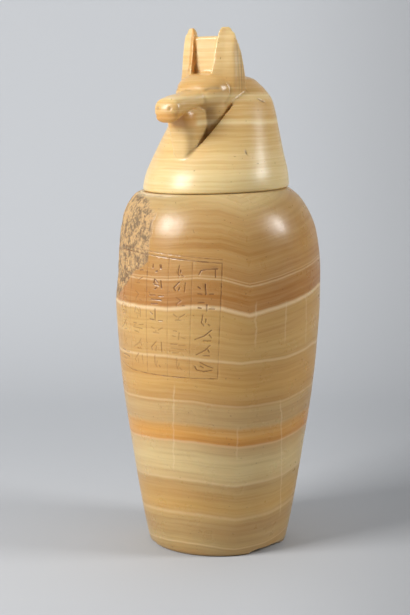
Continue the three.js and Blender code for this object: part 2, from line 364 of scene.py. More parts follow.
def lidMaterial():
    s = Shader("lid_calcite")
    place = s.place()
    x, y, z = s.split(place)
    wander = s.math("MULTIPLY", s.math("SUBTRACT", s.noise(place, 0.03, 2.0), 0.5), 3.0)
    layer = s.math("ADD", s.attribute("layer"), wander)
    base = s.ramp(layer, 270, 430, [(h, colour(*tone)) for h, tone in lidStone["tones"]])
    fine = s.noise(s.join(s.math("MULTIPLY", x, 0.014), s.math("MULTIPLY", y, 0.014), s.math("MULTIPLY", layer, 0.5)),
                   1.0, 4.0, 0.6)
    cloud = s.noise(place, 0.03, 3.0, 0.55)
    base = s.mix(s.range(fine, 0.4, 0.75, 0.0, 0.4), base, colour(248, 224, 178))
    base = s.mix(s.range(fine, 0.5, 0.22, 0.0, 0.35), base, colour(200, 146, 86))
    base = s.mix(s.range(cloud, 0.5, 0.75, 0.0, 0.3), base, colour(222, 172, 108))
    for middle, half, strength in lidStone["paleLines"]:
        away = s.math("ABSOLUTE", s.math("SUBTRACT", layer, middle))
        base = s.mix(s.range(away, half * 2.4, half * 0.2, 0.0, 0.7 * strength), base, colour(252, 228, 182))
    # painted glow: orange of light passing through the stone where it lies in shade, under the jaw and beside the far
    # ear
    paintedGlow = s.attribute("paintedGlow")
    base = s.mix(s.math("MULTIPLY", paintedGlow, 0.7), base, colour(214, 148, 62))
    # dark brown from two sources: the stone's own cracks, pits and streaks, and painted shade in grooves, holes and
    # corners
    marksAndShade = s.attribute("marksAndShade")
    base = s.mix(s.math("MULTIPLY", marksAndShade, 0.85), base, colour(96, 62, 32))
    pins = s.noise(place, 0.5, 1.0, 0.4)
    base = s.mix(s.range(pins, 0.745, 0.79, 0.0, 0.5), base, colour(120, 78, 42))
    s.set("Base Color", base)
    low, high = lidStone["roughness"]
    polish = s.range(s.noise(place, 0.06, 3.0), 0.35, 0.7, low, high)
    s.set("Roughness", s.math("ADD", polish, s.math("MULTIPLY", marksAndShade, 0.35), clamp=True))
    s.set("IOR", 1.5)
    s.set("Subsurface Weight", 0.25)
    s.set("Subsurface Radius", (1.0, 0.6, 0.28))
    s.set("Subsurface Scale", 0.006)
    s.set("Normal", s.bump(s.math("MULTIPLY", s.noise(place, 0.3, 3.0), 0.14), 0.5, 0.0008))
    return s.material


# ---- the jar ----
jarForm = {
    "wall": [(57.5, 5), (62.5, 30), (69.3, 72), (77.8, 130), (82.5, 184), (83.3, 212), (82.8, 238), (79, 264),
             (69, 284), (56, 295)],  # radius and height
    "foot": 54.0,
    "rimHeight": 292.0,
    "mouth": 41.0,
    "floor": 26.0,
    "rimSlope": (0.025, 0.017),  # the mouth's rise for each millimetre along X and Y
    "rimShift": (0.0, -3.0),
    "columns": 240,
    "cell": 2.2,  # spacing of the rows on the wall
    "finer": 5,  # a cell with an incised line in it is parted this many times each way
}
seatGap = 0.3


def splineThrough(points, steps):
    # uniform Catmull-Rom: between p1 and p2 the slopes are (p2 - p0) / 2 and (p3 - p1) / 2
    p = np.array(points, float)
    p = np.vstack([p[:1], p, p[-1:]])
    t = np.linspace(0, 1, steps, endpoint=False)[None, :, None]
    p0, p1, p2, p3 = (p[i : len(p) - 3 + i][:, None, :] for i in range(4))
    v0, v1 = (p2 - p0) / 2, (p3 - p1) / 2
    curve = (2 * p1 - 2 * p2 + v0 + v1) * t**3 + (3 * p2 - 3 * p1 - 2 * v0 - v1) * t**2 + v0 * t + p1
    return np.vstack([curve.reshape(-1, 2), p[-1:]])


def bezier(points, steps):  # de Casteljau on whole arrays
    t = np.linspace(0, 1, steps + 1)[1:, None]
    level = [np.array(p, float)[None, :] for p in points]
    while len(level) > 1:
        level = [a * (1 - t) + b * t for a, b in zip(level[:-1], level[1:])]
    return level[0]


wallCurve = splineThrough(jarForm["wall"], 60)


def wallRadius(height):
    return np.interp(height, wallCurve[:, 1], wallCurve[:, 0])


def tiltAt(x, y):
    return jarForm["rimSlope"][0] * x + jarForm["rimSlope"][1] * y


def jarOutline():
    # underside, wall, mouth, hollow and floor as one broken line; each point keeps which part it belongs to
    rim = jarForm["rimHeight"]
    wall = wallCurve[(wallCurve[:, 1] > 5) & (wallCurve[:, 1] < rim)]
    hollow = [np.array([[41.0, 270.0]])]
    hollow.append(bezier([(41, 270), (58.3, 260), (64.3, 248), (64.3, 198)], 60))
    hollow.append(bezier([(64.3, 198), (64.3, 120), (44, 60), (36, 30)], 60))
    hollow.append(bezier([(36, 30), (34, 26), (26, 26)], 10))
    hollow.append(np.array([[0.0, 26.0]]))
    parts = [
        np.array([[0.0, 0.0], [54.0, 0.0]]),
        np.vstack([[[56.4, 1.6], [57.5, 5]], wall, [[wallRadius(rim), rim]]]),
        np.array([[41.0, rim]]),
        np.vstack(hollow),
    ]
    line = np.vstack(parts)
    length = np.concatenate([[0], np.cumsum(np.linalg.norm(np.diff(line, axis=0), axis=1))])
    ends = np.cumsum([len(p) for p in parts]) - 1
    return line, length, length[ends]


def jarRows(ends):
    # places along the outline where rows lie: close on the wall, wide inside
    footEnd, rimEnd, mouthEnd, floorEnd = ends

    def spread(start, end, step):
        return np.linspace(start, end, max(int(round((end - start) / step)), 1), endpoint=False)

    return np.concatenate([
        spread(10, 44, 6), spread(44, footEnd, 1.4), spread(footEnd, footEnd + 10, 1.4),
        spread(footEnd + 10, rimEnd - 6, jarForm["cell"]), spread(rimEnd - 6, rimEnd + 4, 1.0),
        spread(rimEnd + 4, mouthEnd, 2.6), spread(mouthEnd, mouthEnd + 22, 4), spread(mouthEnd + 22, floorEnd - 30, 6),
        spread(floorEnd - 30, floorEnd - 6, 5), [floorEnd - 6],
    ])


wornPatch = {
    "right": [(204, -46), (213, -33), (227, -22), (240, -7), (253, -6), (265, -6), (276, -6), (286, -17), (291, -36)],
    "left": [(204, -58), (222, -84), (250, -98), (275, -94), (291, -72)],
    "depth": 1.9,
}


def wornShare(azimuth, height, points):
    # 1 well inside the decayed patch, 0 outside it; the edge is ragged by lumps
    inside = np.minimum(along(height, wornPatch["right"]) - azimuth, azimuth - along(height, wornPatch["left"])) * 1.4
    inside = np.minimum(inside, np.minimum(height - 204, 291.5 - height))
    return smooth(inside + 3.5 * roughLumps(points, 9, 11), -1.2, 1.6)


layerRise = {  # how far the layers stand above their height at the front, by azimuth
    "high": [(-180, 4), (-110, 2), (-38, -2), (5, 0), (22, 2.6), (36, 1.8), (51, -4.2), (70, 1), (90, 6.5), (108, 11),
             (145, 8), (180, 4)],
    "low": [(-180, 0), (-110, -3), (-38, -4), (5, 0), (20, -0.5), (47, -4.6), (75, -2.8), (100, 2), (140, 2), (180, 0)],
}


def layerHeight(azimuth, height):
    share = smooth(height, 168, 200)
    return height - along(azimuth, layerRise["high"]) * share - along(azimuth, layerRise["low"]) * (1 - share)


inscription = {
    "borders": [36.5, 20.7, 7.2, -7.0, -21.0, -36.0],  # azimuth of each upright line at the top
    "borderStrength": [0.75, 0.55, 0.45, 0.8, 0.5, 0.6],
    "lean": -2.6,  # how much further round they stand at the bottom
    "top": [(-36, 246.4), (-21, 246.4), (-6, 245.8), (36, 241.4)],
    "bottom": [(-36, 154), (-21, 151), (36, 151)],
    "depth": 0.42,
    "half": 0.5,  # half-width of a stroke
    "seed": 7,
    "columns": [  # marks from the top down, with how strongly each is cut
        [("arch", 0.9), ("stem", 1.0), ("ticks", 0.8), ("hook", 0.85), ("slant", 0.85), ("slant", 0.7), ("bowl", 0.95)],
        [("hook", 1.1), ("leaf", 1.1), ("bend", 0.6), ("wings", 0.45), ("ticks", 0.4), ("bars", 0.45), ("hook", 0.4)],
        [("drop", 1.1), ("thicket", 1.1), ("bars", 1.0), ("stem", 0.8), ("wings", 0.55), ("leaf", 0.6), ("hook", 0.65)],
        [("stem", 0.7), ("wings", 0.6), ("bend", 0.45), ("thicket", 0.55), ("bars", 0.5), ("slant", 0.45), ("leaf", 0.5)],
        [("ticks", 0.8), ("bend", 0.8), ("hook", 0.6), ("thicket", 0.7), ("slant", 0.6), ("hook", 0.6), ("bars", 0.55)],
    ],
}


def marksOf(kind, random):
    # a mark's strokes in a unit cell, right and up from its lower left corner; none of them is writing
    def near(*points):
        return [(u + random.uniform(-0.05, 0.05), v + random.uniform(-0.04, 0.04)) for u, v in points]

    if kind == "arch":
        return [near((0.1, 0.45), (0.2, 0.75), (0.45, 0.86), (0.95, 0.95)), near((0.86, 0.9), (0.85, 0.25))]
    if kind == "stem":
        return [near((0.45, 1), (0.44, 0.1)), near((0.12, 0.72), (0.2, 0.6)), near((0.08, 0.12), (0.3, 0.14)),
                near((0.62, 0.1), (0.85, 0.12))]
    if kind == "ticks":
        return [near((0.2, 0.72), (0.4, 0.72)), near((0.52, 0.55), (0.5, 0.05)), near((0.12, 0.3), (0.28, 0.28)),
                near((0.66, 0.2), (0.86, 0.18))]
    if kind == "hook":
        return [near((0.4, 1), (0.36, 0.35), (0.44, 0.08)), near((0.56, 0.6), (0.52, 0.38)), near((0.62, 0.2), (0.7, 0.1))]
    if kind == "slant":
        return [near((0.78, 0.95), (0.5, 0.5), (0.08, 0.12)), near((0.4, 0.08), (0.72, 0.1)), near((0.7, 0.6), (0.76, 0.36))]
    if kind == "bowl":
        return [near((0.06, 0.45), (0.1, 0.12), (0.45, 0.02), (0.85, 0.1)), near((0.3, 0.75), (0.66, 0.5), (0.9, 0.3)),
                near((0.34, 0.45), (0.5, 0.34))]
    if kind == "leaf":
        return [near((0.45, 0.95), (0.12, 0.4), (0.22, 0.2)), near((0.46, 0.5), (0.4, 0.2)), near((0.82, 0.85), (0.8, 0.15))]
    if kind == "bend":
        return [near((0.3, 0.9), (0.62, 0.66), (0.34, 0.36), (0.3, 0.2)), near((0.66, 0.3), (0.82, 0.24))]
    if kind == "wings":
        return [near((0.15, 0.8), (0.4, 0.62)), near((0.6, 0.62), (0.88, 0.82)), near((0.3, 0.34), (0.66, 0.34)),
                near((0.48, 0.56), (0.48, 0.4))]
    if kind == "bars":
        return [near((0.05, 0.86), (0.42, 0.86)), near((0.56, 0.82), (0.92, 0.84)), near((0.08, 0.5), (0.86, 0.48)),
                near((0.14, 0.18), (0.5, 0.16))]
    if kind == "drop":
        return [near((0.7, 0.8), (0.72, 0.5)), near((0.76, 0.78), (0.77, 0.52)), near((0.16, 0.8), (0.17, 0.5)),
                near((0.4, 0.2), (0.52, 0.22))]
    return [near((0.3, 0.9), (0.24, 0.5)), near((0.42, 0.86), (0.62, 0.55)), near((0.3, 0.4), (0.62, 0.36)),
            near((0.72, 0.8), (0.74, 0.2)), near((0.5, 0.22), (0.4, 0.06))]


def inscribedStrokes():
    # every stroke as x0, z0, x1, z1, half-width, strength, in mm round the belly and up
    random = np.random.default_rng(inscription["seed"])
    perDegree = math.pi * 82.5 / 180
    borders = inscription["borders"]
    strokes = []

    def cut(points, half, strength):
        for (x0, z0), (x1, z1) in zip(points[:-1], points[1:]):
            strokes.append((x0, z0, x1, z1, half, strength))

    def edge(border, height):
        return (border + inscription["lean"] * (245 - height) / 95) * perDegree

    for border, strength in zip(borders, inscription["borderStrength"]):
        heights = np.linspace(along(border, inscription["top"]), along(border, inscription["bottom"]), 30)
        for high, low in zip(heights[:-1], heights[1:]):
            fading = strength * (1 if high > 205 else 0.6) * random.uniform(0.35, 1.1)
            cut([(edge(border, high), high), (edge(border, low), low)], 0.4, fading)
    spots = np.linspace(-36, 36.5, 40)
    for lift, half, strength in ((0, 0.5, 0.85), (2.8, 0.4, 0.55)):
        line = [(b * perDegree, along(b, inscription["top"]) + lift) for b in spots]
        for first, second in zip(line[:-1], line[1:]):
            cut([first, second], half, strength * random.uniform(0.5, 1.15))
    line = [((b + inscription["lean"]) * perDegree, along(b, inscription["bottom"])) for b in spots]
    for first, second in zip(line[:-1], line[1:]):
        cut([first, second], 0.42, 0.7 * random.uniform(0.6, 1.2))
    for column, marks in enumerate(inscription["columns"]):
        right, left = borders[column], borders[column + 1]
        top = along((right + left) / 2, inscription["top"]) - 4.5
        pitch = (top - 154) / len(marks)
        for row, (kind, strength) in enumerate(marks):
            high = top - row * pitch
            low = high - pitch * 0.78
            x0, x1 = edge(left, high) + 3.0, edge(right, high) - 3.0
            half = inscription["half"] * random.uniform(0.85, 1.2)
            for points in marksOf(kind, random):
                cut([(x0 + (x1 - x0) * u, low + (high - low) * v) for u, v in points], half,
                    strength * random.uniform(0.75, 1.1))
    return np.array(strokes)


def strokeShare(azimuth, height):
    # how deep the nearest incised line is here: strength (1 - (distance / half-width)^2), at least 0
    perDegree = math.pi * 82.5 / 180
    share = np.zeros(azimuth.shape)
    near = (np.abs(azimuth) < 43) & (height > 146) & (height < 254)
    x, z = azimuth[near] * perDegree, height[near]
    found = np.zeros(x.shape)
    for x0, z0, x1, z1, half, strength in inscribedStrokes():
        boxed = (x > min(x0, x1) - 1.2) & (x < max(x0, x1) + 1.2) & (z > min(z0, z1) - 1.2) & (z < max(z0, z1) + 1.2)
        px, pz = x[boxed] - x0, z[boxed] - z0
        dx, dz = x1 - x0, z1 - z0
        t = np.clip((px * dx + pz * dz) / max(dx * dx + dz * dz, 1e-9), 0, 1)
        away = np.hypot(px - t * dx, pz - t * dz)
        found[boxed] = np.maximum(found[boxed], strength * np.clip(1.25 - (away / half) ** 2, 0, 1))
    share[near] = found
    return share


def makeJar():
    line, length, ends = jarOutline()
    rows = jarRows(ends)
    k, columns = jarForm["finer"], jarForm["columns"]
    fineRows = np.interp(np.arange((len(rows) - 1) * k + 1) / k, np.arange(len(rows)), rows)
    nominalR = np.interp(fineRows, length, line[:, 0])
    nominalZ = np.interp(fineRows, length, line[:, 1])
    fineDegrees = np.arange(columns * k) * 360 / (columns * k) - 180
    azimuth, s = np.meshgrid(fineDegrees, fineRows)
    rn, zn = np.meshgrid(np.zeros(columns * k), nominalR)[1], np.meshgrid(np.zeros(columns * k), nominalZ)[1]
    onWall = (s > ends[0]) & (s <= ends[1])
    strokes = np.where(onWall, strokeShare(azimuth, zn), 0)

    # a cell is parted where a line runs through it
    touched = strokes > 0.02
    cellRows = len(rows) - 1
    wrapped = np.concatenate([touched, touched[:, :1]], axis=1)
    parted = np.zeros((cellRows, columns), bool)
    for j in range(k + 1):
        for i in range(k + 1):
            parted |= wrapped[j : j + cellRows * k : k, i : i + columns * k : k]
    used = np.zeros(touched.shape, bool)
    used[::k, ::k] = True
    for j in range(k + 1):
        for i in range(k + 1):
            rowAt, columnAt = np.nonzero(parted)
            used[rowAt * k + j, (columnAt * k + i) % (columns * k)] = True
    index = np.full(used.shape, -1)
    index[used] = np.arange(used.sum())

    azimuth, s, rn, zn, strokes = azimuth[used], s[used], rn[used], zn[used], strokes[used]
    points, attributes = placeOnJar(azimuth, s, rn, zn, strokes, ends)

    faces = []
    rowAt, columnAt = np.nonzero(parted)
    for j in range(k):
        for i in range(k):
            a, b = rowAt * k + j, columnAt * k + i
            c = (b + 1) % (columns * k)
            faces.append(np.stack([index[a, b], index[a, c], index[a + 1, c], index[a + 1, b]], axis=1))
    # whole cells: plain ones are quads, those beside a parted cell take in its extra points
    below = np.vstack([np.zeros((1, columns), bool), parted[:-1]])
    above = np.vstack([parted[1:], np.zeros((1, columns), bool)])
    rightOf, leftOf = np.roll(parted, -1, axis=1), np.roll(parted, 1, axis=1)
    beside = below | above | rightOf | leftOf
    rowAt, columnAt = np.nonzero(~parted & ~beside)
    a, b, c = rowAt * k, columnAt * k, ((columnAt + 1) * k) % (columns * k)
    faces.append(np.stack([index[a, b], index[a, c], index[a + k, c], index[a + k, b]], axis=1))
    quads = np.vstack(faces).tolist()
    step = np.arange(k)
    rowStep = np.concatenate([0 * step, step, 0 * step + k, k - step])
    columnStep = np.concatenate([step, 0 * step + k, k - step, 0 * step])
    rowAt, columnAt = np.nonzero(~parted & beside)
    sides = np.stack([below, rightOf, above, leftOf])[:, rowAt, columnAt]
    keep = np.repeat(sides.T, k, axis=1) | (np.arange(4 * k) % k == 0)
    rings = index[rowAt[:, None] * k + rowStep, (columnAt[:, None] * k + columnStep) % (columns * k)]
    polygons = [ring[kept].tolist() for ring, kept in zip(rings, keep)]

    # the middle of the underside and of the floor close with fans
    first, last = index[0, ::k], index[-1, ::k]
    count = len(points)
    points = np.vstack([points, [0, 0, 0], [0, 0, jarForm["floor"]]])
    for key in attributes:
        attributes[key] = np.concatenate([attributes[key], [0, jarForm["floor"]] if key == "layer" else [0, 0]])
    fans = np.stack([np.roll(first, -1), first, np.full(columns, count)], axis=1).tolist()
    fans += np.stack([last, np.roll(last, -1), np.full(columns, count + 1)], axis=1).tolist()
    return points, quads + polygons + fans, attributes


chips = [  # azimuth, radius, radial and sideways half-size, height: bites out of the foot's edge
    (83, 58, 11, 27, 4.6),
    (-33, 58.5, 4.5, 5.5, 3.0),
    (30, 58.8, 3.4, 6.0, 1.6),
]


def placeOnJar(azimuth, s, rn, zn, strokes, ends):
    rim, mouth = jarForm["rimHeight"], jarForm["mouth"]
    turn = np.radians(azimuth)
    dirX, dirY = np.sin(turn), -np.cos(turn)
    rimOut = wallRadius(rim)
    topR = wallRadius(rim + tiltAt(rimOut * dirX, rimOut * dirY))
    topZ = rim + tiltAt(topR * dirX, topR * dirY)
    topR = wallRadius(topZ)
    onWall = (s > ends[0]) & (s <= ends[1])
    onMouth = (s > ends[1]) & (s <= ends[2])
    # the wall's top slides up or down to the slanting mouth and its radius follows the outline
    z = np.where(onWall & (zn > 240), zn + (topZ - rim) * smooth(zn, 240, rim), zn)
    r = np.where(onWall & (zn > 5), wallRadius(z), rn)
    r = np.where(onMouth, mouth + (rn - mouth) / (rimOut - mouth) * (topR - mouth), r)
    z = np.where(onMouth, rim + tiltAt(r * dirX, r * dirY), z)
    inside = s > ends[2]
    z = np.where(inside, zn + tiltAt(r * dirX, r * dirY) * smooth(zn, 268, rim), z)
    points = np.stack([r * dirX, r * dirY, z], axis=1)

    worn = np.where(onWall, wornShare(azimuth, z, points), 0)
    patchSide = 1 - smooth(np.abs(azimuth + 52), 21, 42)
    patchUp = smooth(z, 204, 228) * (1 - smooth(z, 260, 284))
    dent = wornPatch["depth"] * patchSide * patchUp + worn * (0.35 + 0.55 * roughLumps(points, 4.5, 21))
    dent = dent + 0.25 * roughLumps(points, 60, 3) * smooth(z, 8, 30) * (1 - smooth(z, 275, 290))
    dent = dent + inscription["depth"] * strokes
    r = np.where(onWall, r - dent, r)

    # the mouth's outer edge: a small round, broken away where the jar's right shoulder has decayed
    edge = np.abs(s - ends[1])
    brokenHere = smooth(azimuth, -75, -50) * (1 - smooth(azimuth, -6, 14))
    ragged = 0.5 + 0.5 * roughLumps(np.stack([azimuth * 1.0, azimuth * 0, azimuth * 0], axis=1), 7, 31)
    bite = 0.45 + 2.6 * brokenHere * ragged
    reach = 1.3 + 2.2 * brokenHere * ragged
    rounded = np.clip(1 - edge / reach, 0, 1) ** 1.3 * bite
    r = np.where(onWall | onMouth, r - rounded * 0.7, r)
    z = np.where(onWall | onMouth, z - rounded * 0.8, z)
    fresh = brokenHere * np.clip(1.4 - edge / (reach + 0.8), 0, 1) * (onWall | onMouth)

    shift = smooth(z, 230, 287)
    x = r * dirX + jarForm["rimShift"][0] * shift
    y = r * dirY + jarForm["rimShift"][1] * shift
    # each chip lifts the foot to the top of an ellipsoid: z = height sqrt(1 - (across / a)^2 - (sideways / b)^2)
    for chipAzimuth, radius, a, b, tall in chips:
        turnTo = math.radians(chipAzimuth)
        out = (x * math.sin(turnTo) - y * math.cos(turnTo) - radius) / a
        side = (x * math.cos(turnTo) + y * math.sin(turnTo)) / b
        lifted = tall * np.sqrt(np.clip(1 - out**2 - side**2, 0, None))
        lifted = lifted * (1 + 0.16 * roughLumps(np.stack([x, y, z * 0], axis=1), 5, 41))
        hit = (s < ends[1]) & (z < lifted)
        fresh = np.where(hit, np.maximum(fresh, 0.55), fresh)
        z = np.where(hit, lifted, z)
    points = np.stack([x, y, z], axis=1)
    return points, {"layer": layerHeight(azimuth, z), "stroke": strokes, "worn": worn, "fresh": fresh}


# ---- the lid ----
lidForm = {
    "plug": 38.5,
    "plugDepth": 13.0,
    "wig": [[0, 58.8], [5, 58.6], [14, 57], [24, 53.6], [44, 46.6], [69, 37.2], [77, 31], [82, 25.8], [87, 18.8],
            [92, 0]],  # height over the seat, half-width
    "lean": 17.0,
    "openingFoot": 26.5,
    "openingReach": 41.0,
    "throat": [[21, 7.4, -48, -24], [27, 8.6, -49.6, -24], [34, 10, -50.6, -24], [42, 11.2, -52, -24],
               [52, 12, -55, -24], [60, 11.6, -57, -24], [67, 10.5, -55, -24]],  # height, half-width, front, back
    "head": [[-8, 15, 86, 66], [4, 21, 90.5, 61], [16, 23, 92.3, 61], [22, 22.2, 91.8, 61.2], [26, 20.6, 91, 61.6],
             [30, 18.2, 89, 62.2], [34, 15, 86, 63.4], [37, 11.4, 83, 65], [39, 7, 81, 66.5]],  # forward, half, top, bottom
    "muzzle": [[18, 13, 84, 66], [30, 13, 81, 66], [41, 12.4, 78.6, 65], [50, 11.9, 77.3, 63], [57, 11.6, 76.5, 60.4],
               [62, 11.4, 75.6, 57.4], [67, 11.2, 74.6, 55.6], [72.5, 10.9, 73.4, 56]],
    "ears": [[66, 18, -24, 22.5, -20, 23.5, -12, 17, -10], [72, 15, -25.5, 25, -16, 26, -3, 14, -3],
             [79, 11, -24.8, 26.4, -12.8, 27.4, 3, 12, 2], [87, 9, -23.6, 26.2, -12.3, 27.4, 2.4, 11, 2],
             [94, 9.1, -22.3, 25.6, -11.7, 27.2, 0.6, 11, 0], [101, 9.7, -19.8, 24.9, -11.9, 27.2, -1.6, 11.4, -1.6],
             [109, 9.8, -18.4, 24, -11.9, 27.2, -4.4, 11.4, -4], [116, 10, -17.2, 23.6, -10.9, 26.3, -7, 11.4, -6],
             [121, 10.7, -15.9, 22.8, -9.9, 25, -8, 11.6, -7], [124.5, 11.1, -15.4, 21.6, -9.4, 23.4, -8.4, 12, -8],
             [127.7, 12.4, -14.4, 20, -10.2, 20.6, -9.2, 13.2, -9.4]],
    "voxel": 0.86,
}


def closedForm(pointAt, aroundSteps, alongSteps):
    # rings between two poles; pointAt takes arrays around 0..1 and along 0..1 and gives points
    around, alongRing = np.meshgrid(np.arange(aroundSteps) / aroundSteps, np.linspace(0, 1, alongSteps + 1)[1:-1])
    rings = pointAt(around, alongRing)
    poles = pointAt(np.zeros((2, 1)), np.array([[0.0], [1.0]]))[:, 0]
    points = np.vstack([rings.reshape(-1, 3), poles])
    i = np.arange((alongSteps - 1) * aroundSteps).reshape(alongSteps - 1, aroundSteps)
    j = np.roll(i, -1, axis=1)
    quads = np.stack([i[:-1], j[:-1], j[1:], i[1:]], axis=-1).reshape(-1, 4).tolist()
    low, high = len(points) - 2, len(points) - 1
    fans = np.stack([j[0], i[0], np.full(aroundSteps, low)], axis=1).tolist()
    fans += np.stack([i[-1], j[-1], np.full(aroundSteps, high)], axis=1).tolist()
    faces = quads + fans
    a, b, c = points[[f[0] for f in faces]], points[[f[1] for f in faces]], points[[f[2] for f in faces]]
    if np.einsum("ij,ij->", np.cross(a, b), c) < 0:
        faces = [f[::-1] for f in faces]
    return points, faces


def openingHalf(height):  # 25.5 (rise / reach)^0.55
    rise = np.clip(height - lidForm["openingFoot"], 0, lidForm["openingReach"]) / lidForm["openingReach"]
    return 25.5 * rise**0.55


def ringPoint(around, a, b, squareness):  # superellipse: a cos|cos|^(q - 1), b sin|sin|^(q - 1)
    turn = 2 * np.pi * around
    c, s = np.cos(turn), np.sin(turn)
    return a * np.sign(c) * np.abs(c) ** squareness, b * np.sign(s) * np.abs(s) ** squareness


def roundedEnd(place, low, high, lowRounding, highRounding):
    pastLow = np.clip(low + lowRounding - place, 0, None) / lowRounding
    pastHigh = np.clip(place - high + highRounding, 0, None) / highRounding
    return np.sqrt(np.clip(1 - pastLow**2 - pastHigh**2, 0, None))


def wigForm():
    outline = stationCurve(lidForm["wig"])
    heights = 92 * np.sin(np.linspace(0, np.pi / 2, 150)[1:])
    halves = outline(heights)[:, 0]
    plug, deep = lidForm["plug"], lidForm["plugDepth"]
    low = np.array([[0, -deep], [plug - 1.5, -deep], [plug, 1.5 - deep], [plug, 0], [57.6, 0], [58.8, 1.2]])
    line = np.vstack([low, np.stack([halves, heights], axis=1)[heights > 1.4]])
    length = np.concatenate([[0], np.cumsum(np.linalg.norm(np.diff(line, axis=0), axis=1))])

    def pointAt(around, place):
        s = place * length[-1]
        r, z = np.interp(s, length, line[:, 0]), np.interp(s, length, line[:, 1])
        turn = 2 * np.pi * around
        x, y = r * np.sin(turn), -r * np.cos(turn)
        y = y + np.where(z > 0, lidForm["lean"] * (1 - np.cos(np.pi * z / 92)) / 2, 0)
        # the front opens: what stands inside the opening goes back behind the neck
        open_ = smooth(openingHalf(z) - np.abs(x), -0.1, 0.5) * (y < -12) * (z > lidForm["openingFoot"]) * (z < 68)
        y = np.where(open_ > 0, y * (1 - open_) - 12 * open_, y)
        return np.stack([x, y, z], axis=-1)

    return closedForm(pointAt, 420, 240)


def uprightForm(stations, squareness):
    read = stationCurve(stations)
    low, high = stations[0][0], stations[-1][0]

    def pointAt(around, place):
        height = low + (high - low) * (1 - np.cos(np.pi * place)) / 2
        dome = roundedEnd(height, low, high, 4, 4)
        half, front, back = np.moveaxis(read(height), -1, 0)
        x, y = ringPoint(around, half * dome, (back - front) / 2 * dome, squareness)
        return np.stack([x, (front + back) / 2 + y, height], axis=-1)

    return closedForm(pointAt, 120, 90)


def neckForm():
    heights = [24, 30, 40, 50, 60, 76]
    return uprightForm([[z, float(np.clip(openingHalf(z) - 1.8, 3, 21)), -42 + 10.5 * float(smooth(z, 25, 44)), -2]
                        for z in heights], 0.8)


def forwardForm(stations, backRounding, frontRounding, squareness):
    read = stationCurve(stations)
    back, front = stations[0][0], stations[-1][0]

    def pointAt(around, place):
        forward = back + (front - back) * (1 - np.cos(np.pi * place)) / 2
        dome = roundedEnd(forward, back, front, backRounding, frontRounding)
        half, top, bottom = np.moveaxis(read(forward), -1, 0)
        x, z = ringPoint(around, half * dome, (top - bottom) / 2 * dome, squareness)
        return np.stack([x, -forward, (top + bottom) / 2 + z], axis=-1)

    return closedForm(pointAt, 150, 130)


def earForm(side):
    # an upright loft: each section is a closed curve through four corners and the middles of its sides
    read = stationCurve(lidForm["ears"])

    def pointAt(around, place):
        height = 66 + (127.7 - 66) * (1 - np.cos(np.pi * place)) / 2
        corners = read(height).reshape(*height.shape, 4, 2)
        middle = corners.mean(axis=-2)
        halves = (corners + np.roll(corners, -1, axis=-2)) / 2
        inward = middle - halves[..., 0, :]
        scoop = 0.5 * smooth(height, 84, 94) / np.linalg.norm(inward, axis=-1)
        halves[..., 0, :] += inward * scoop[..., None]
        pulled = corners * 0.94 + middle[..., None, :] * 0.06
        ring = np.stack([pulled, halves], axis=-2).reshape(*height.shape, 8, 2)
        share = (around % 1) * 8
        i = np.floor(share).astype(int) % 8
        t = (share - np.floor(share))[..., None]

        def corner(k):
            return np.take_along_axis(ring, ((i + k) % 8)[..., None, None], axis=-2)[..., 0, :]

        v0, v1 = 0.35 * (corner(1) - corner(-1)), 0.35 * (corner(2) - corner(0))
        p1, p2 = corner(0), corner(1)
        flat = (2 * p1 - 2 * p2 + v0 + v1) * t**3 + (3 * p2 - 3 * p1 - 2 * v0 - v1) * t**2 + v0 * t + p1
        dome = np.clip(np.sin(np.pi * place), 0, 1) ** 0.2
        flat = middle + (flat - middle) * dome[..., None]
        return np.stack([side * flat[..., 0], flat[..., 1], height], axis=-1)

    return closedForm(pointAt, 120, 130)


def webForm():
    # a slab between the ears; a superellipse close to a rectangle
    def pointAt(around, place):
        height = 78 + 43 * (1 - np.cos(np.pi * place)) / 2
        dome = roundedEnd(height, 78, 121, 1.5, 1.5)
        x, y = ringPoint(around, 13.0 * (0.4 + 0.6 * dome), 4.5 * dome, 0.25)
        return np.stack([x, y - 9.5, height], axis=-1)

    return closedForm(pointAt, 120, 60)


def joined(forms):
    points, faces, start = [], [], 0
    for p, f in forms:
        points.append(p)
        faces += [[i + start for i in face] for face in f]
        start += len(p)
    return np.vstack(points), faces


def oneSkin(points, faces, voxel):
    # all the forms become one closed skin of even cells
    mesh = bpy.data.meshes.new("rough")
    mesh.from_pydata((points * mm).tolist(), [], faces)
    rough = bpy.data.objects.new("rough", mesh)
    bpy.context.scene.collection.objects.link(rough)
    remesh = rough.modifiers.new("skin", "REMESH")
    remesh.mode = "VOXEL"
    remesh.voxel_size = voxel * mm
    skin = rough.evaluated_get(bpy.context.evaluated_depsgraph_get()).to_mesh()
    out = np.zeros(len(skin.vertices) * 3)
    skin.vertices.foreach_get("co", out)
    loops = np.zeros(len(skin.loops), int)
    skin.loops.foreach_get("vertex_index", loops)
    starts = np.zeros(len(skin.polygons), int)
    skin.polygons.foreach_get("loop_start", starts)
    edges = np.zeros(len(skin.edges) * 2, int)
    skin.edges.foreach_get("vertices", edges)
    faces = [part.tolist() for part in np.split(loops, starts[1:])]
    bpy.data.objects.remove(rough)
    bpy.data.meshes.remove(mesh)
    return out.reshape(-1, 3) / mm, faces, edges.reshape(-1, 2)


def averageOf(points, edges):
    total = np.zeros(points.shape)
    for axis in range(3):
        total[:, axis] = np.bincount(edges[:, 0], points[edges[:, 1], axis], len(points))
        total[:, axis] += np.bincount(edges[:, 1], points[edges[:, 0], axis], len(points))
    return total / np.bincount(edges.ravel(), minlength=len(points))[:, None]


def settle(points, edges, rounds, share=1.0):
    # Taubin: a step of 0.5 towards the neighbours' middle, then one of 0.53 back, so that nothing shrinks
    for _ in range(rounds):
        points = points + 0.5 * share * (averageOf(points, edges) - points)
        points = points - 0.53 * share * (averageOf(points, edges) - points)
    return points


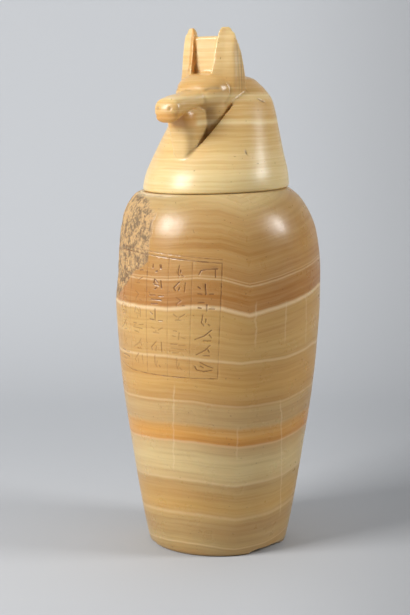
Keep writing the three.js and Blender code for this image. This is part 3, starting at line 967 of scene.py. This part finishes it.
def outward(points, faces):
    # unit normals of the points: the sum of the crosses of each quad's diagonals
    quads = np.array([f if len(f) == 4 else f + f[-1:] for f in faces])
    across = np.cross(points[quads[:, 2]] - points[quads[:, 0]], points[quads[:, 3]] - points[quads[:, 1]])
    total = np.zeros(points.shape)
    for corner in range(4):
        for axis in range(3):
            total[:, axis] += np.bincount(quads[:, corner], across[:, axis], len(points))
    return total / np.maximum(np.linalg.norm(total, axis=1), 1e-9)[:, None]


lidMarks = {
    "mouthLine": [(13.4, -42, 357), (12.6, -50, 356.2), (11.6, -60, 354.6), (11.4, -68, 352.6), (9.5, -73.5, 351.8),
                  (4, -76.5, 351.6), (0, -77, 351.6)],
    "nostrils": [(6, -75, 358), (-6, -75, 358)],
    "eyes": [[(13.6, -38, 371.2), (15.6, -34.5, 372.2), (20, -29, 372.6)]],
    "brow": [(-3, -40.5, 370.6), (1, -41, 370.4)],
    "cracks": [[(35.8, 4, 364.5), (37.3, 7.4, 362.5), (37, 10.4, 361), (37.6, 11.4, 358.5)],
               [(43.4, -26, 326), (44, -25.5, 322), (45, -24.2, 319.5)]],
    "pits": [(38.6, -36.4, 310, 0.8), (27, -43, 333, 0.6), (50.6, -9, 334, 0.7), (20.5, -20, 364.6, 0.9), (-11, -17, 386, 1.5)],
}


def makeLid():
    forms = [wigForm(), neckForm(), uprightForm(lidForm["throat"], 0.62), forwardForm(lidForm["head"], 12, 5, 0.86), forwardForm(lidForm["muzzle"], 3, 6, 0.74), webForm(), earForm(1), earForm(-1)]
    points, faces = joined(forms)
    print("lid forms", len(points))
    points, faces, edges = oneSkin(points, faces, lidForm["voxel"])
    print("lid skin", len(points))
    points = settle(points, edges, 12)
    # softer where the ears and the head grow into each other
    soft = smooth(points[:, 2], 74, 80) * (1 - smooth(points[:, 2], 92, 98))
    points = settle(points, edges, 25, soft[:, None])
    # onto the slanting mouth
    points[:, 2] += tiltAt(points[:, 0], points[:, 1]) + jarForm["rimHeight"] + seatGap
    points[:, 1] += jarForm["rimShift"][1]

    normals = outward(points, faces)
    inward = np.zeros(len(points))
    # darkening gathered here: the stone's cracks, pits and streaks, and painted shade in the nostrils, eye lines, brow
    # crease, wig groove and ear corner
    marksAndShade = np.zeros(len(points))
    mouthLine = lidMarks["mouthLine"]
    mouthLine = mouthLine + [(-x, y, z) for x, y, z in mouthLine[-2::-1]]
    away = pathDistance(points, mouthLine)
    inward += 0.9 * np.exp(-((away / 1.5) ** 2))
    # the nostrils, dented, with painted shade inside them
    for nostril in lidMarks["nostrils"]:
        away = np.linalg.norm(points - nostril, axis=1)
        inward += 0.9 * np.exp(-((away / 1.4) ** 2))
        marksAndShade += 0.6 * np.exp(-((away / 1.3) ** 2))
    # the eye lines, dented, with painted shade along them
    for line in lidMarks["eyes"]:
        for sign in (1, -1):
            away = pathDistance(points, [(sign * x, y, z) for x, y, z in line])
            inward += 0.7 * np.exp(-((away / 1.2) ** 2))
            marksAndShade += 0.35 * np.exp(-((away / 1.0) ** 2))
    for line in lidMarks["cracks"]:
        away = pathDistance(points, line)
        inward += 0.9 * np.exp(-((away / 0.7) ** 2))
        marksAndShade += 0.85 * np.exp(-((away / 0.75) ** 2))
    for px, py, pz, size in lidMarks["pits"]:
        away = np.linalg.norm(points - (px, py, pz), axis=1)
        inward += 0.8 * np.exp(-((away / size) ** 2))
        marksAndShade += 0.8 * np.exp(-((away / size) ** 2))
    # painted shade along the crease where the brow meets the muzzle
    marksAndShade += 0.4 * np.exp(-((pathDistance(points, lidMarks["brow"]) / 1.1) ** 2))
    # painted shade in the groove along the wig's edge, below the ear lobes
    x, y, z = points.T
    high = z - tiltAt(x, y) - jarForm["rimHeight"] - seatGap
    groove = np.abs(np.abs(x) - openingHalf(high) + 0.7)
    marksAndShade += 0.3 * np.exp(-((groove / 0.9) ** 2)) * smooth(high, 27, 31) * smooth(high, 70, 64) * smooth(y, -14, -18)
    # brown streaks down the outer sides of the ears
    outer = smooth(np.abs(x), 22.6, 24.2) * smooth(z, 366, 374) * smooth(z, 417, 408)
    for place, strength in ((-10.6, 0.3), (-7.2, 0.55), (-4.6, 0.4), (-1.6, 0.5)):
        marksAndShade += strength * outer * np.exp(-(((y - place + 0.05 * (z - 390)) / 0.55) ** 2))
    # painted shade in the corner between the far ear and the web, broken into specks
    corner = smooth(x, -8.3, -9.5) * smooth(x, -15.5, -13) * smooth(y, -13.5, -15.5) * smooth(y, -24.5, -21.5)
    corner = corner * smooth(z, 381, 384)
    marksAndShade += corner * smooth(roughLumps(points, 2.4, 61), -0.15, 0.45) * (0.25 + 0.5 * smooth(z, 394, 385))
    points = points - normals * inward[:, None]
    x, y, z = points.T
    # painted glow of light through the stone, on the jaw's shaded underside and in the far ear's corner
    jaw = smooth(z, 356.5, 352) * smooth(y, -44, -52) * smooth(z, 341, 345)
    paintedGlow = np.clip(0.9 * jaw * (np.abs(x) < 15) + corner, 0, 1)
    layer = z - tiltAt(x, y) * 0.4
    return points, faces, {"layer": layer, "marksAndShade": np.clip(marksAndShade, 0, 1), "paintedGlow": paintedGlow}


jarPoints, jarFaces, jarAttributes = makeJar()
makePiece("jar_body", jarPoints, jarFaces, jarAttributes, jarMaterial(), "jar")
lidPoints, lidFaces, lidAttributes = makeLid()
makePiece("lid_jackal", lidPoints, lidFaces, lidAttributes, lidMaterial(), "jackal_lid")


# ---- floor, lights and camera ----
studio = {
    "key": {"azimuth": -25, "elevation": 26, "distance": 1.7, "size": 0.75, "watts": 33.5, "tone": (1.0, 0.985, 0.96)},
    "fill": {"azimuth": 113, "elevation": 26, "distance": 1.7, "size": 0.5, "watts": 15, "tone": (1.0, 0.985, 0.96)},
    "top": {"azimuth": 180, "elevation": 86, "distance": 1.5, "size": 1.0, "watts": 4.5, "tone": (0.93, 0.97, 1.0)},
    "ambient": 0.09,
    "camera": {"place": (0.7018, -1.0404, 0.395), "heading": 34.486, "down": 9.093, "lens": 90.8},
}


def makeSweep():
    # seamless paper: flat floor, a wide bend, then upright; profile carried along the width
    turn = np.linspace(0, np.pi / 2, 40)
    bendRadius, bendStart = 0.7, 0.5
    flat = np.concatenate([[-6], np.linspace(-0.6, bendStart, 12)])
    along_ = np.concatenate([flat, bendStart + bendRadius * np.sin(turn[1:]), [bendStart + bendRadius]])
    up = np.concatenate([flat * 0, bendRadius * (1 - np.cos(turn[1:])), [5.0]])
    across = np.concatenate([[-6], np.linspace(-0.9, 0.9, 91), [6]])
    forward = math.radians(studio["camera"]["heading"])
    w, d = np.meshgrid(across, along_)
    height = np.meshgrid(across, up)[1]
    x = w * math.cos(forward) - d * math.sin(forward)
    y = w * math.sin(forward) + d * math.cos(forward)
    points = np.stack([x, y, height], axis=-1).reshape(-1, 3)
    # painted light and shade on the paper: darker towards the right, darker on the floor and lighter up the bend,
    # standing in for how the lamps fall
    side = w / (np.clip(d, -0.8, None) + 1.255) / 0.132
    shade = (1 - 0.25 * smooth(side, 0.1, 1.3)) * (0.94 + 0.22 * smooth(d, 0.3, 0.95))
    i = np.arange(len(points)).reshape(w.shape)
    faces = np.stack([i[:-1, :-1], i[:-1, 1:], i[1:, 1:], i[1:, :-1]], axis=-1).reshape(-1, 4).tolist()
    mesh = bpy.data.meshes.new("paper_sweep")
    mesh.from_pydata(points.tolist(), [], faces)
    mesh.polygons.foreach_set("use_smooth", np.ones(len(faces), bool))
    mesh.attributes.new("shade", "FLOAT", "POINT").data.foreach_set("value", shade.ravel())
    s = Shader("studio_paper")
    s.set("Base Color", s.mix(s.math("DIVIDE", s.attribute("shade"), 1.25), colour(0, 0, 0), colour(216, 219, 224)))
    s.set("Roughness", 0.9)
    s.set("Specular IOR Level", 0.2)
    mesh.materials.append(s.material)
    sweep = bpy.data.objects.new("paper_sweep", mesh)
    bpy.context.scene.collection.objects.link(sweep)


def softBox(name, data):
    light = bpy.data.lights.new(name, "AREA")
    light.shape = "SQUARE"
    light.size = data["size"]
    light.energy = data["watts"]
    light.color = data["tone"]
    azimuth, elevation = math.radians(data["azimuth"]), math.radians(data["elevation"])
    aim = (0, 0, 0.2)
    out = (math.sin(azimuth) * math.cos(elevation), -math.cos(azimuth) * math.cos(elevation), math.sin(elevation))
    box = bpy.data.objects.new(name, light)
    box.location = [a + data["distance"] * o for a, o in zip(aim, out)]
    box.rotation_euler = (math.pi / 2 - elevation, 0, azimuth)
    bpy.context.scene.collection.objects.link(box)
    return box


makeSweep()
softBox("key_box", studio["key"])
softBox("fill_box", studio["fill"])
softBox("top_box", studio["top"]).visible_glossy = False
world = bpy.data.worlds.new("studio")
bpy.context.scene.world = world
world.use_nodes = True
world.node_tree.nodes["Background"].inputs[0].default_value = (0.93, 0.97, 1.0, 1)
world.node_tree.nodes["Background"].inputs[1].default_value = studio["ambient"]
bpy.context.scene.view_settings.view_transform = "Standard"

camera = bpy.data.cameras.new("camera")
camera.lens = studio["camera"]["lens"]
camera.sensor_width = 36
eye = bpy.data.objects.new("camera", camera)
eye.location = studio["camera"]["place"]
eye.rotation_euler = (math.radians(90 - studio["camera"]["down"]), 0, math.radians(studio["camera"]["heading"]))
bpy.context.scene.collection.objects.link(eye)
bpy.context.scene.camera = eye
print("studio set")
